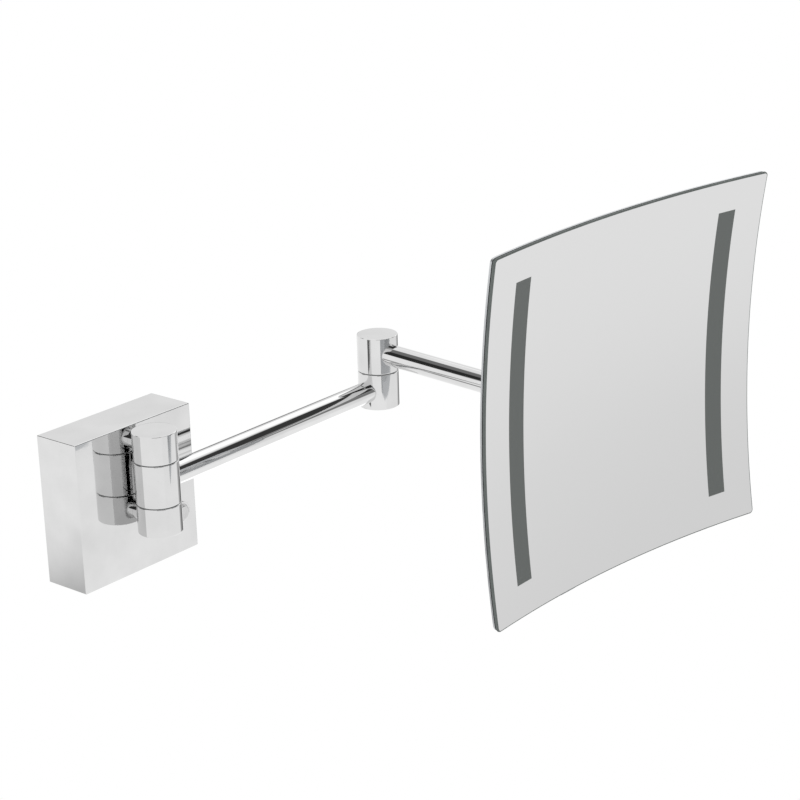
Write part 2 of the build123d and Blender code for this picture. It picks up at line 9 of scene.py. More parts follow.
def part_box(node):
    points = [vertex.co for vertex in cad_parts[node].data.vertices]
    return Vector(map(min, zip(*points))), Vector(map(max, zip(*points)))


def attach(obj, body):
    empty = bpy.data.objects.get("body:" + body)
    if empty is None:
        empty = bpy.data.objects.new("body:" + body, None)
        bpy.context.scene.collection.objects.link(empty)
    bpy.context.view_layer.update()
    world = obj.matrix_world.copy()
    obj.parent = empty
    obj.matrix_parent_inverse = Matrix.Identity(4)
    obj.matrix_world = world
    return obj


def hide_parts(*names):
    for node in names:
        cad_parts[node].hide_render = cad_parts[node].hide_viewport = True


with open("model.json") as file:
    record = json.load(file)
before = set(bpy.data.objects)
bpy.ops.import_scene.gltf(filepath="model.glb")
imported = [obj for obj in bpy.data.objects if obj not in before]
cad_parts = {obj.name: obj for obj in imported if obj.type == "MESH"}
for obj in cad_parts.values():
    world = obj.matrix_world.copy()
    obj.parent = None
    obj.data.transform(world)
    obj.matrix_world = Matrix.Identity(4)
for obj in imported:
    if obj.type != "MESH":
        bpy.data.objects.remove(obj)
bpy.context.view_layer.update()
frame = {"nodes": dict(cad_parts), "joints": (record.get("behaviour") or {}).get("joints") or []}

bl_info = {
    "name": "Extendable shaving mirror",
    "version": (1, 0, 0),
    "blender": (4, 5, 0),
    "location": "3D View > Sidebar > Shaving mirror",
    "description": "Builds the visible pieces of a wall-mounted shaving mirror on its frame",
    "category": "Object",
}

MM = 0.001
TINY = 1e-6
SHARP = math.radians(60)
DISH_SHARP = math.radians(40)
BEZEL_SKIRT = 0.3 * MM
BUTTON_DEPTH = 4.0 * MM
BUTTON_CROWN = 0.15 * MM
NECK_GAP = 0.02 * MM
LINER_GAP = 0.05 * MM
CUP_RIM = 1.6 * MM
CUP_BREAK = 0.3 * MM
RIM_SLACK = 0.01 * MM
WINDOW_SINK = 0.03 * MM
LUG_ROOT = 2.0 * MM
HOUSING_FLAT = 12 * MM
HOUSING_LIP = 3 * MM
HOUSING_HOLD = 0.4 * MM
SMALLEST_CORNER = 1.0 * MM
KEY_SIZE = 1.2
KEY_PLACE = (-0.6, -1.2, 1.3)
KEY_TARGET = (0.1, -0.1, 0.0)
JOINTS = {joint["name"]: joint for joint in frame["joints"]}


# ---------------------------------------------------------------- sizes and colours

def linear(code):
    """Linear colour of an sRGB hex code."""
    channels = [int(code[start:start + 2], 16) / 255 for start in (0, 2, 4)]
    return tuple(value / 12.92 if value <= 0.04045 else ((value + 0.055) / 1.055) ** 2.4
                 for value in channels)


def colour(name, description, code):
    """Colour property with its default given as an sRGB hex code."""
    return FloatVectorProperty(name=name, description=description, subtype="COLOR", size=3,
                               min=0.0, max=1.0, default=linear(code))


def length(name, description, millimetres):
    """Length property with its default given in millimetres."""
    return FloatProperty(name=name, description=description, default=millimetres * MM,
                         unit="LENGTH", subtype="DISTANCE", precision=5)


class MirrorFinishes(bpy.types.PropertyGroup):
    """Colours of the finishes."""
    chrome: colour("Chrome", "Polished chrome plate", "D8D8D8")
    button: colour("Button", "Satin chrome of the push button", "CACACA")
    silver: colour("Silvering", "Silvered back of the glass, seen through it", "D2D2D2")
    glass_edge: colour("Glass edge", "Ground and polished edge of the glass", "626765")
    frosted: colour("Frosted window", "Sand-blasted window over an unlit lamp", "5A5E5C")
    housing: colour("Housing", "Satin anodised aluminium pan", "B4B6B8")
    plate: colour("Plate", "Rolled aluminium plate behind the glass", "C4C6C8")
    bracket: colour("Bracket", "Pressed stainless steel", "B9BABB")
    screw: colour("Screws", "Bright zinc plating", "A9ABAE")
    seam: colour("Seam washers", "Grey nylon washers between hinge sections", "5A5C5D")
    nylon: colour("Nylon", "Natural nylon bushes and ball cup", "DDDCD4")
    rubber: colour("Rubber", "Grommet", "222324")
    driver: colour("Driver", "Moulded polycarbonate case", "E4E4E0")
    terminal: colour("Terminal", "Moulded polyamide", "DAD8CC")
    switch: colour("Switch", "Moulded phenolic body", "1E1F20")
    lead: colour("Lead", "PVC sheath", "CFCFCF")
    brass: colour("Brass", "Turned brass nut", "CDB06A")
    board: colour("Lamp board", "White solder mask", "EEEFEB")


class MirrorSizes(bpy.types.PropertyGroup):
    """Sizes that the frame doesn't give."""
    turn_steps: IntProperty(name="Turning steps", description="Facets round a turned piece",
                            default=160, min=24)
    dish_cells: IntProperty(name="Dish cells", description="Cells across the concave glass",
                            default=72, min=12)
    rim_break: length("Rim break", "Rounding of turned rims", 0.4)
    box_edge: length("Box edge", "Rounding of the box's edges", 0.5)
    neck_radius: length("Neck radius", "Radius of the necks behind the wall hinge", 5.0)
    pin_head_radius: length("Pin head", "Radius of the pins' counterbores", 5.0)
    pin_head_depth: length("Pin head depth", "Depth of the pins' counterbores", 3.4)
    tube_radius: length("Tube radius", "Outer radius of the arm tubes", 6.35)
    tube_wall: length("Tube wall", "Wall of the arm tubes", 1.2)
    socket_depth: length("Socket floor", "Distance from a hinge axis to a tube's end", 6.5)
    bezel_lip: length("Bezel lip", "Rounding of the button's bezel", 0.5)
    button_lip: length("Button lip", "Rounding of the push button", 0.8)
    button_gap: length("Button gap", "Gap between the button and its bezel", 0.45)
    stud_radius: length("Stud radius", "Shank of the ball stud", 3.5)
    glass_thickness: length("Glass", "Thickness of the glass", 2.0)
    glass_corner: length("Glass corner", "Corner radius of the glass", 2.5)
    glass_bevel: length("Ground edge", "Width of the ground edge", 0.9)
    dish_radius: length("Dish radius", "Radius of the concave glass", 600.0)
    coating: length("Coating", "Silvering and paint between glass and plate", 0.2)
    plate_thickness: length("Plate", "Thickness of the backing plate", 1.2)
    plate_inset: length("Plate inset", "How far the plate stays inside the glass", 0.2)
    window_inner: length("Window inner edge", "Light window's inner edge from the middle", 69.1)
    window_outer: length("Window outer edge", "Light window's outer edge from the middle", 80.6)
    window_half: length("Window half height", "Half the height of a light window", 82.15)
    lug_middle: length("Lug middle", "Sideways place of the lug under the plate", -40.5)
    lug_width: length("Lug width", "Width of the lug under the plate", 13.0)
    lug_drop: length("Lug drop", "How far the lug stands out under the plate", 1.6)
    housing_back_half: length("Housing back", "Half side of the housing's flat back", 74.0)
    housing_back_corner: length("Housing back corner", "Corner radius of the flat back", 9.0)
    housing_lip_corner: length("Housing lip corner", "Corner radius at the plate", 14.0)
    housing_slope: length("Housing slope", "Depth of the sloping sides", 12.0)
    housing_edge: length("Housing edge", "Rounding between the back and the sides", 1.6)
    flange_thickness: length("Flange", "Thickness of the ball socket's flange", 2.5)
    cup_wall: length("Cup wall", "Wall of the ball socket", 2.2)
    head_roll: FloatProperty(name="Head roll", description="Turn of the glass about its own axis",
                             default=math.radians(2.52), subtype="ANGLE", unit="ROTATION")


class MirrorStage(bpy.types.PropertyGroup):
    """Camera, floor and light."""
    camera_place: FloatVectorProperty(name="Camera", description="Where the camera stands",
                                      subtype="TRANSLATION", unit="LENGTH", size=3,
                                      default=(-0.6965, -0.7901, 0.4018))
    heading: FloatProperty(name="Heading", description="Camera heading from the wall's normal",
                           default=math.radians(-50.25), subtype="ANGLE", unit="ROTATION")
    tilt: FloatProperty(name="Tilt", description="Camera tilt, negative looks down",
                        default=math.radians(-18.965), subtype="ANGLE", unit="ROTATION")
    roll: FloatProperty(name="Roll", description="Camera roll",
                        default=math.radians(-1.604), subtype="ANGLE", unit="ROTATION")
    lens: FloatProperty(name="Lens", description="Focal length", default=93.17, unit="CAMERA")
    floor_drop: length("Floor drop", "Floor below the lowest point of the mirror", 180.0)
    floor_side: length("Floor side", "Side of the floor", 12000.0)
    room: FloatProperty(name="Room light", description="Level of the white studio", default=1.06)
    key_power: FloatProperty(name="Key light", description="Power of the soft key light",
                             default=6.0, unit="POWER")


# ---------------------------------------------------------------- nodes and finishes

def add(tree, kind, inputs=None, **settings):
    """Add a node, give it its settings, and set or link its inputs."""
    node = tree.nodes.new(kind)
    for setting, value in settings.items():
        setattr(node, setting, value)
    for socket, value in (inputs or {}).items():
        if isinstance(value, bpy.types.NodeSocket):
            tree.links.new(value, node.inputs[socket])
        else:
            node.inputs[socket].default_value = value
    return node


def new_finish(name, base, **sockets):
    """Node material with a Principled shader whose uniform values sit on its own sockets."""
    made = bpy.data.materials.new(name)
    made.use_nodes = True
    tree = made.node_tree
    tree.nodes.clear()
    shader = add(tree, "ShaderNodeBsdfPrincipled", {"Base Color": (*base, 1.0)})
    for socket, value in sockets.items():
        shader.inputs[socket.replace("_", " ").title().replace("Ior", "IOR")].default_value = value
    add(tree, "ShaderNodeOutputMaterial", {"Surface": shader.outputs["BSDF"]})
    return made, tree, shader


def grain(tree, size_mm, detail=2.0, stretch=(1.0, 1.0, 1.0)):
    """Noise whose cells have a real size in millimetres."""
    place = add(tree, "ShaderNodeTexCoord")
    scaled = add(tree, "ShaderNodeMapping", {"Vector": place.outputs["Object"], "Scale": stretch})
    return add(tree, "ShaderNodeTexNoise", {"Vector": scaled.outputs["Vector"],
                                            "Scale": 1.0 / (size_mm * MM), "Detail": detail})


def vary_roughness(tree, shader, noise, low, high):
    """Let the roughness drift between two values with a noise."""
    drift = add(tree, "ShaderNodeMapRange", {"Value": noise.outputs["Fac"], "From Min": 0.35,
                                             "From Max": 0.65, "To Min": low, "To Max": high})
    tree.links.new(drift.outputs["Result"], shader.inputs["Roughness"])


def vary_colour(tree, shader, noise, low, high):
    """Let the base colour drift between two colours with a noise."""
    blend = add(tree, "ShaderNodeMix", {"Factor": noise.outputs["Fac"], "A": (*low, 1.0),
                                        "B": (*high, 1.0)}, data_type="RGBA")
    tree.links.new(blend.outputs["Result"], shader.inputs["Base Color"])


def raise_surface(tree, shader, noise, height_mm, strength):
    """Relief of a real height from a noise."""
    bump = add(tree, "ShaderNodeBump", {"Height": noise.outputs["Fac"], "Strength": strength,
                                        "Distance": height_mm * MM})
    tree.links.new(bump.outputs["Normal"], shader.inputs["Normal"])


def tinted(base, factor):
    """A colour made lighter or darker."""
    return tuple(min(1.0, channel * factor) for channel in base)


def polished_chrome(base):
    """Chrome plate on buffed brass: a hard mirror with a faint haze left by the buffing wheel."""
    made, tree, shader = new_finish("polished_chrome", base, metallic=1.0, roughness=0.04)
    vary_roughness(tree, shader, grain(tree, 9.0, 3.0), 0.025, 0.06)
    vary_colour(tree, shader, grain(tree, 22.0, 3.0), tinted(base, 0.88), tinted(base, 1.12))
    raise_surface(tree, shader, grain(tree, 5.0, 2.0), 0.012, 0.12)
    return made


def satin_chrome(base):
    """Chrome plate over a fine blasted surface: soft highlights on the push button."""
    made, tree, shader = new_finish("satin_chrome", base, metallic=1.0, roughness=0.18)
    vary_roughness(tree, shader, grain(tree, 1.2), 0.14, 0.22)
    raise_surface(tree, shader, grain(tree, 0.25), 0.01, 0.2)
    return made


def silvered_glass(base):
    """Float glass silvered on its back: a clean image, a shade darker than bare silver."""
    made, tree, shader = new_finish("silvered_glass", base, metallic=1.0, roughness=0.02)
    vary_roughness(tree, shader, grain(tree, 40.0), 0.012, 0.03)
    return made


def ground_glass_edge(base):
    """Ground and polished edge of float glass: dark, green-grey and glossy."""
    made, tree, shader = new_finish("ground_glass_edge", base, roughness=0.3, ior=1.52,
                                    specular_ior_level=0.1)
    vary_roughness(tree, shader, grain(tree, 1.5), 0.25, 0.38)
    vary_colour(tree, shader, grain(tree, 12.0), tinted(base, 0.8), tinted(base, 1.2))
    return made


def frosted_glass(base):
    """Sand-blasted glass over an unlit lamp: matte grey with a very fine grit."""
    made, tree, shader = new_finish("frosted_glass", base, roughness=0.55, ior=1.45)
    vary_colour(tree, shader, grain(tree, 0.8, 4.0), tinted(base, 0.94), tinted(base, 1.06))
    raise_surface(tree, shader, grain(tree, 0.35, 3.0), 0.02, 0.35)
    return made


def anodised_aluminium(name, base, grit_mm):
    """Blasted and anodised aluminium: a metal with an even silky grain."""
    made, tree, shader = new_finish(name, base, metallic=1.0, roughness=0.34)
    vary_roughness(tree, shader, grain(tree, 14.0, 3.0), 0.3, 0.38)
    raise_surface(tree, shader, grain(tree, grit_mm, 3.0), 0.02, 0.3)
    return made


def rolled_aluminium(base):
    """Rolled sheet: fine lines along the rolling direction."""
    made, tree, shader = new_finish("rolled_aluminium", base, metallic=1.0, roughness=0.22)
    lines = grain(tree, 0.5, 3.0, (1.0, 1.0, 0.04))
    vary_roughness(tree, shader, lines, 0.16, 0.3)
    raise_surface(tree, shader, lines, 0.01, 0.25)
    return made


def pressed_stainless(base):
    """Cold-rolled stainless sheet, pressed: dull metal with rolling lines."""
    made, tree, shader = new_finish("pressed_stainless", base, metallic=1.0, roughness=0.32)
    lines = grain(tree, 0.6, 4.0, (1.0, 1.0, 0.05))
    vary_roughness(tree, shader, lines, 0.25, 0.42)
    raise_surface(tree, shader, lines, 0.02, 0.3)
    return made


def zinc_plated_steel(base):
    """Bright zinc on turned steel: metal with slightly cloudy patches."""
    made, tree, shader = new_finish("zinc_plated_steel", base, metallic=1.0, roughness=0.25)
    vary_roughness(tree, shader, grain(tree, 1.5, 3.0), 0.18, 0.34)
    vary_colour(tree, shader, grain(tree, 3.0), tinted(base, 0.92), tinted(base, 1.06))
    return made


def turned_brass(base):
    """Machined brass: warm metal with fine turning marks."""
    made, tree, shader = new_finish("turned_brass", base, metallic=1.0, roughness=0.22)
    raise_surface(tree, shader, grain(tree, 0.3, 2.0, (1.0, 0.1, 1.0)), 0.01, 0.3)
    return made


def moulded_plastic(name, base, roughness, grain_mm, ior):
    """Injection-moulded plastic: an even colour with a fine eroded texture from the tool."""
    made, tree, shader = new_finish(name, base, roughness=roughness, ior=ior)
    vary_colour(tree, shader, grain(tree, 20.0), tinted(base, 0.97), tinted(base, 1.03))
    raise_surface(tree, shader, grain(tree, grain_mm, 3.0), 0.02, 0.3)
    return made


FINISHES = {}


def finish(name):
    """The finish of that name, made on first use from the panel's colours."""
    if name not in FINISHES:
        tone = bpy.context.scene.mirror_finishes
        makers = {
            "chrome": lambda: polished_chrome(tone.chrome),
            "button": lambda: satin_chrome(tone.button),
            "silver": lambda: silvered_glass(tone.silver),
            "glass_edge": lambda: ground_glass_edge(tone.glass_edge),
            "frosted": lambda: frosted_glass(tone.frosted),
            "housing": lambda: anodised_aluminium("anodised_aluminium", tone.housing, 0.4),
            "plate": lambda: rolled_aluminium(tone.plate),
            "bracket": lambda: pressed_stainless(tone.bracket),
            "screw": lambda: zinc_plated_steel(tone.screw),
            "brass": lambda: turned_brass(tone.brass),
            "seam": lambda: moulded_plastic("grey_nylon", tone.seam, 0.5, 0.4, 1.53),
            "nylon": lambda: moulded_plastic("natural_nylon", tone.nylon, 0.42, 0.5, 1.53),
            "rubber": lambda: moulded_plastic("moulded_rubber", tone.rubber, 0.7, 0.6, 1.5),
            "driver": lambda: moulded_plastic("polycarbonate", tone.driver, 0.4, 0.5, 1.58),
            "terminal": lambda: moulded_plastic("polyamide", tone.terminal, 0.45, 0.5, 1.53),
            "switch": lambda: moulded_plastic("phenolic", tone.switch, 0.38, 0.5, 1.6),
            "lead": lambda: moulded_plastic("pvc_sheath", tone.lead, 0.45, 0.8, 1.53),
            "board": lambda: moulded_plastic("solder_mask", tone.board, 0.35, 0.7, 1.5),
        }
        FINISHES[name] = makers[name]()
    return FINISHES[name]


# ---------------------------------------------------------------- mesh helpers

def piece(name, shape, body, finishes, stands_for=(), faces_of=None):
    """Object from points and faces, which rides on a body and stands for CAD nodes."""
    points, faces = shape
    mesh = bpy.data.meshes.new(name)
    mesh.from_pydata([tuple(point) for point in points], [], faces)
    mesh.polygons.foreach_set("use_smooth", [True] * len(mesh.polygons))
    for each in finishes:
        mesh.materials.append(finish(each))
    if faces_of:
        mesh.polygons.foreach_set("material_index", faces_of)
    mesh.validate()
    made = bpy.data.objects.new(name, mesh)
    bpy.context.scene.collection.objects.link(made)
    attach(made, body)
    if stands_for:
        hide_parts(*stands_for)
    return made


def joined(*shapes):
    """Several shapes as one list of points and faces."""
    points, faces = [], []
    for more_points, more_faces in shapes:
        start = len(points)
        points += more_points
        faces += [[start + index for index in face] for face in more_faces]
    return points, faces


def moved(shape, matrix):
    """A shape put in place by a matrix."""
    points, faces = shape
    return [matrix @ Vector(point) for point in points], faces


def aimed(place, direction):
    """Matrix that puts a piece's own Z axis along a direction."""
    return Matrix.Translation(place) @ direction.to_track_quat("Z", "Y").to_matrix().to_4x4()


def rounded(corners, radius, steps=4, hold=0.15 * MM):
    """Outline whose inner corners are arcs, with a point beside each arc so that flats stay flat."""
    out = [Vector(corners[0])]
    for before, corner, after in zip(corners, corners[1:], corners[2:]):
        here = Vector(corner)
        back, ahead = Vector(before) - here, Vector(after) - here
        half = back.angle(ahead) / 2
        cut = radius / math.tan(half)
        middle = here + (back.normalized() + ahead.normalized()).normalized() * radius / math.sin(half)
        start, end = here + back.normalized() * cut, here + ahead.normalized() * cut
        out.append(start + back.normalized() * hold)
        for step in range(steps + 1):
            spoke = (start - middle).lerp(end - middle, step / steps).normalized()
            out.append(middle + spoke * radius)
        out.append(end + ahead.normalized() * hold)
    return out + [Vector(corners[-1])]


def turned(profile, closed=False):
    """Profile of radii and heights turned about Z. Its outside lies to the right of its run."""
    steps = bpy.context.scene.mirror_sizes.turn_steps
    points, rings = [], []
    for radius, height in profile:
        start = len(points)
        if radius < TINY:
            points.append((0.0, 0.0, height))
            rings.append([start])
            continue
        for step in range(steps):
            angle = math.tau * step / steps
            points.append((radius * math.cos(angle), radius * math.sin(angle), height))
        rings.append(list(range(start, start + steps)))
    pairs = list(zip(rings, rings[1:])) + ([(rings[-1], rings[0])] if closed else [])
    faces = []
    for lower, upper in pairs:
        for step in range(steps):
            after = (step + 1) % steps
            corners = [lower[step % len(lower)], lower[after % len(lower)],
                       upper[after % len(upper)], upper[step % len(upper)]]
            corners = list(dict.fromkeys(corners))
            if len(corners) > 2:
                faces.append(corners)
    return points, faces


def drum(radius, low, high, rim):
    """Plain turned drum with rounded rims."""
    return turned(rounded([(0, low), (radius, low), (radius, high), (0, high)], rim))


def counterbored_drum(radius, low, high, rim, bore, depth):
    """Turned drum with a pin's counterbore in its lower end."""
    return turned(rounded([(0, low + depth), (bore, low + depth), (bore, low), (radius, low),
                           (radius, high), (0, high)], rim))


def pipe(radius, wall, start, end):
    """Tube along Z."""
    inner = radius - wall
    return turned([(inner, start), (radius, start), (radius, end), (inner, end)], closed=True)


def soften_edges(made, width, steps=3, angle=50.0):
    """Round the sharp edges of a piece, and keep its flats flat."""
    bevel = made.modifiers.new("edges", "BEVEL")
    bevel.width = width
    bevel.segments = steps
    bevel.limit_method = "ANGLE"
    bevel.angle_limit = math.radians(angle)
    bevel.harden_normals = True
    return bevel


def joint_place(name):
    """Where a joint's axis passes, in the frame."""
    return Vector(JOINTS[name]["pos_m"])


def node_radius(node):
    """Half the width of an upright turned CAD node."""
    low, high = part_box(node)
    return (high.x - low.x) / 2


# ---------------------------------------------------------------- the head's frame

def head_matrix():
    """The head's own frame: X to its right, Y up, Z out of the glass, origin at the ball."""
    out = Vector(JOINTS["head_roll"]["axis"]).normalized()
    level = Vector(JOINTS["head_tilt"]["axis"]).normalized()
    roll = bpy.context.scene.mirror_sizes.head_roll
    right = level * math.cos(roll) + out.cross(level) * math.sin(roll)
    up = out.cross(right)
    matrix = Matrix((right, up, out)).transposed().to_4x4()
    return Matrix.Translation(joint_place("head_roll")) @ matrix


BOXES = {}


def head_box(node):
    """Lowest and highest corners of a CAD node in the head's frame, worked out once."""
    if node not in BOXES:
        inverse = head_matrix().inverted()
        places = [inverse @ vertex.co for vertex in frame["nodes"][node].data.vertices]
        BOXES[node] = tuple(Vector([pick(place[axis] for place in places) for axis in range(3)])
                            for pick in (min, max))
    return BOXES[node]


def dish_height(x, y, depth):
    """Height of the dish at a point, a depth behind the front of the glass."""
    sizes = bpy.context.scene.mirror_sizes
    centre = dish_centre()
    return centre - math.sqrt((sizes.dish_radius + depth) ** 2 - x ** 2 - y ** 2)


def dish_centre():
    """Height of the dish's centre, from the glass's foremost points at its corners."""
    sizes = bpy.context.scene.mirror_sizes
    low, high = head_box("mirror_glass")
    corner = (high.x - low.x) / 2 - sizes.glass_corner * (1 - math.sqrt(0.5))
    return high.z + math.sqrt(sizes.dish_radius ** 2 - 2 * corner ** 2)


def grid_lines(half, corner, marks):
    """Grid lines across a square: its sides, its corner cells, the marks and an even fill."""
    cells = bpy.context.scene.mirror_sizes.dish_cells
    fixed = sorted({-half, corner - half, half - corner, half, *marks})
    lines = []
    for start, end in zip(fixed, fixed[1:]):
        count = max(1, round((end - start) / (2 * half) * cells))
        lines += [start + (end - start) * step / count for step in range(count)]
    return lines + [half]


def dish_slab(half, corner, front, back, windows=()):
    """Rounded square slab of the dish between two depths, with rectangular windows through it.

    Gives the points, the faces and, for each face, 0 on the front, 1 on a side, 2 on the back.
    """
    marks_x = {value for window in windows for value in window[:2]}
    marks_y = {value for window in windows for value in window[2:]}
    xs, ys = grid_lines(half, corner, marks_x), grid_lines(half, corner, marks_y)
    places, index, sheet = [], {}, []

    def point(x, y):
        key = (round(x, 7), round(y, 7))
        if key not in index:
            index[key] = len(places)
            places.append((x, y))
        return index[key]

    def in_window(x, y):
        return any(a < x < b and c < y < d for a, b, c, d in windows)

    inner = half - corner
    for x0, x1 in zip(xs, xs[1:]):
        for y0, y1 in zip(ys, ys[1:]):
            x, y = (x0 + x1) / 2, (y0 + y1) / 2
            if in_window(x, y):
                continue
            if abs(x) > inner and abs(y) > inner:
                sheet += corner_fan(point, math.copysign(inner, x), math.copysign(inner, y), corner)
                continue
            sheet.append([point(x0, y0), point(x1, y0), point(x1, y1), point(x0, y1)])
    count = len(places)
    points = [(x, y, dish_height(x, y, front)) for x, y in places]
    points += [(x, y, dish_height(x, y, back)) for x, y in places]
    faces = list(sheet) + [[count + i for i in reversed(face)] for face in sheet]
    kinds = [0] * len(sheet) + [2] * len(sheet)
    edges = {(a, b) for face in sheet for a, b in zip(face, face[1:] + face[:1])}
    for a, b in sorted(edges):
        if (b, a) not in edges:
            faces.append([b, a, count + a, count + b])
            kinds.append(1)
    return points, faces, kinds


def grind_rim(glass, half):
    """Ground bevel round the outer edges of the glass, and not round its windows."""
    sizes = bpy.context.scene.mirror_sizes
    inner = half - sizes.glass_corner
    inverse = head_matrix().inverted()
    places = [inverse @ vertex.co for vertex in glass.data.vertices]

    def on_rim(place):
        over_x, over_y = abs(place.x) - inner, abs(place.y) - inner
        reach = math.hypot(over_x, over_y) if min(over_x, over_y) > 0 else max(over_x, over_y)
        return reach > sizes.glass_corner - RIM_SLACK

    rim = [on_rim(place) for place in places]
    weights = glass.data.attributes.new("bevel_weight_edge", "FLOAT", "EDGE")
    for edge in glass.data.edges:
        a, b = edge.vertices
        level = abs(places[a].z - places[b].z) < sizes.glass_thickness / 2
        weights.data[edge.index].value = 1.0 if rim[a] and rim[b] and level else 0.0
    bevel = soften_edges(glass, sizes.glass_bevel, 2)
    bevel.limit_method = "WEIGHT"
    bevel.material = 1


def corner_fan(point, x, y, corner, steps=6):
    """Fan of triangles that rounds one corner of a slab."""
    side_x, side_y = math.copysign(1, x), math.copysign(1, y)
    rim = []
    for step in range(steps + 1):
        angle = math.pi / 2 * step / steps
        rim.append(point(x + side_x * corner * math.cos(angle), y + side_y * corner * math.sin(angle)))
    if side_x * side_y < 0:
        rim.reverse()
    middle = point(x, y)
    return [[middle, a, b] for a, b in zip(rim, rim[1:])]


def rounded_square(half, corner, height, steps=8, side_steps=24):
    """Ring of points round a rounded square; height is a number or a function of x and y."""
    inner, flat = half - corner, []
    for quarter in range(4):
        turn = Matrix.Rotation(quarter * math.pi / 2, 2)
        arc = [(inner + corner * math.cos(math.pi / 2 * step / steps),
                inner + corner * math.sin(math.pi / 2 * step / steps))
               for step in range(steps + 1)]
        side = [(inner - 2 * inner * step / side_steps, half) for step in range(1, side_steps)]
        flat += [turn @ Vector(place) for place in arc + side]
    return [(x, y, height(x, y) if callable(height) else height) for x, y in flat]


def stacked(rings, cap_first=True, cap_last=False):
    """Skin through rings with the same number of points, from the back outwards."""
    points = [place for ring in rings for place in ring]
    count = len(rings[0])
    faces = []
    for level in range(len(rings) - 1):
        for step in range(count):
            a, b = level * count + step, level * count + (step + 1) % count
            faces.append([a, b, b + count, a + count])
    if cap_first:
        faces.append(list(reversed(range(count))))
    if cap_last:
        faces.append(list(range(len(points) - count, len(points))))
    return points, faces


# ---------------------------------------------------------------- stage

# Soft boxes and black cards of the studio, as directions seen from the mirror: compass angle
# from the room's normal towards +X, height above the horizon, half width, half height, softness
# (degrees), and how much light comes from there. Polished metal shows them as bands.
STUDIO = (
    ("soft box, upper right", 112, 38, 24, 15, 8, 1.45),
    ("soft box, lower right", 112, -42, 20, 12, 8, 1.45),
    ("dim corner, far right", 138, 20, 16, 9, 5, 0.95),
    ("black card, right", 96, -12, 18, 14, 4, 0.2),
    ("gap between the boxes", 137, -4, 3, 19, 3, 0.3),
    ("shaded front, low", 42, -10, 50, 10, 14, 0.97),
    ("bright sweep, front", 42, -36, 45, 11, 10, 1.12),
    ("black card, front right", 59, 31, 19, 14, 5, 0.05),
    ("black card, front left", -33, 27, 24, 19, 4, 0.04),
    ("black card, overhead", 14, 42, 34, 10, 5, 0.05),
    ("shade under the card", 47, 8, 5, 9, 5, 0.24),
    ("black card, far left", -150, 27, 10, 13, 3, 0.03),
    ("grey card, behind", -170, 43, 16, 7, 5, 0.2),
    ("low card, left", -141, -27.4, 12, 4, 3.5, 0.36),
)


def maths(tree, operation, *values):
    """Output of a math node."""
    return add(tree, "ShaderNodeMath", dict(enumerate(values)), operation=operation).outputs[0]


def studio_world(room):
    """White studio with soft boxes and black cards, built from directions alone."""
    world = bpy.data.worlds.new("studio")
    world.use_nodes = True
    tree = world.node_tree
    tree.nodes.clear()
    place = add(tree, "ShaderNodeTexCoord")
    parts = add(tree, "ShaderNodeSeparateXYZ", {"Vector": place.outputs["Generated"]})
    into_room = maths(tree, "MULTIPLY", parts.outputs["Y"], -1.0)
    compass = maths(tree, "ARCTAN2", parts.outputs["X"], into_room)
    rise = maths(tree, "ARCSINE", parts.outputs["Z"])
    level = room
    for label, angle, height, half_width, half_height, soft, light in STUDIO:
        turn = maths(tree, "SUBTRACT", compass, math.radians(angle))
        wrap = maths(tree, "WRAP", turn, math.pi, -math.pi)
        lift = maths(tree, "SUBTRACT", rise, math.radians(height))
        masks = []
        for offset, half in ((wrap, half_width), (lift, half_height)):
            away = maths(tree, "ABSOLUTE", offset)
            mask = add(tree, "ShaderNodeMapRange",
                       {"Value": away, "From Min": math.radians(half - soft / 2),
                        "From Max": math.radians(half + soft / 2), "To Min": 1.0,
                        "To Max": 0.0}, interpolation_type="SMOOTHSTEP")
            masks.append(mask.outputs[0])
        both = maths(tree, "MULTIPLY", *masks)
        zone = add(tree, "ShaderNodeMix", {"Factor": both, "A": level, "B": light}, label=label)
        level = zone.outputs["Result"]
    light = add(tree, "ShaderNodeBackground", {"Color": (1.0, 1.0, 1.0, 1.0), "Strength": level})
    white = add(tree, "ShaderNodeBackground", {"Color": (1.0, 1.0, 1.0, 1.0), "Strength": 1.0})
    ray = add(tree, "ShaderNodeLightPath")
    shown = add(tree, "ShaderNodeMixShader", {0: ray.outputs["Is Camera Ray"],
                                              1: light.outputs[0], 2: white.outputs[0]})
    add(tree, "ShaderNodeOutputWorld", {"Surface": shown.outputs[0]})
    return world


def pale_floor(stage):
    """Plain white floor well below the mirror."""
    half = stage.floor_side / 2
    height = cad_lowest() - stage.floor_drop
    mesh = bpy.data.meshes.new("floor")
    corners = [(-half, -half, height), (half, -half, height), (half, half, height),
               (-half, half, height)]
    mesh.from_pydata(corners, [], [[0, 1, 2, 3]])
    white = bpy.data.materials.new("white_sweep")
    white.use_nodes = True
    white.node_tree.nodes.clear()
    glow = add(white.node_tree, "ShaderNodeEmission", {"Color": (1.0, 1.0, 1.0, 1.0)})
    add(white.node_tree, "ShaderNodeOutputMaterial", {"Surface": glow.outputs[0]})
    mesh.materials.append(white)
    floor = bpy.data.objects.new("floor", mesh)
    floor.visible_glossy = False
    floor.visible_diffuse = False
    floor.visible_shadow = False
    bpy.context.scene.collection.objects.link(floor)


def cad_lowest():
    """Height of the lowest point of the frame."""
    return min(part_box(node)[0].z for node in frame["nodes"])


def key_light(stage):
    """Large soft lamp above the camera's left, kept out of the reflections."""
    lamp = bpy.data.lights.new("key", "AREA")
    lamp.energy = stage.key_power
    lamp.size = KEY_SIZE
    key = bpy.data.objects.new("key", lamp)
    key.location = KEY_PLACE
    aim = Vector(KEY_TARGET) - key.location
    key.rotation_euler = aim.to_track_quat("-Z", "Y").to_euler()
    key.visible_glossy = False
    bpy.context.scene.collection.objects.link(key)


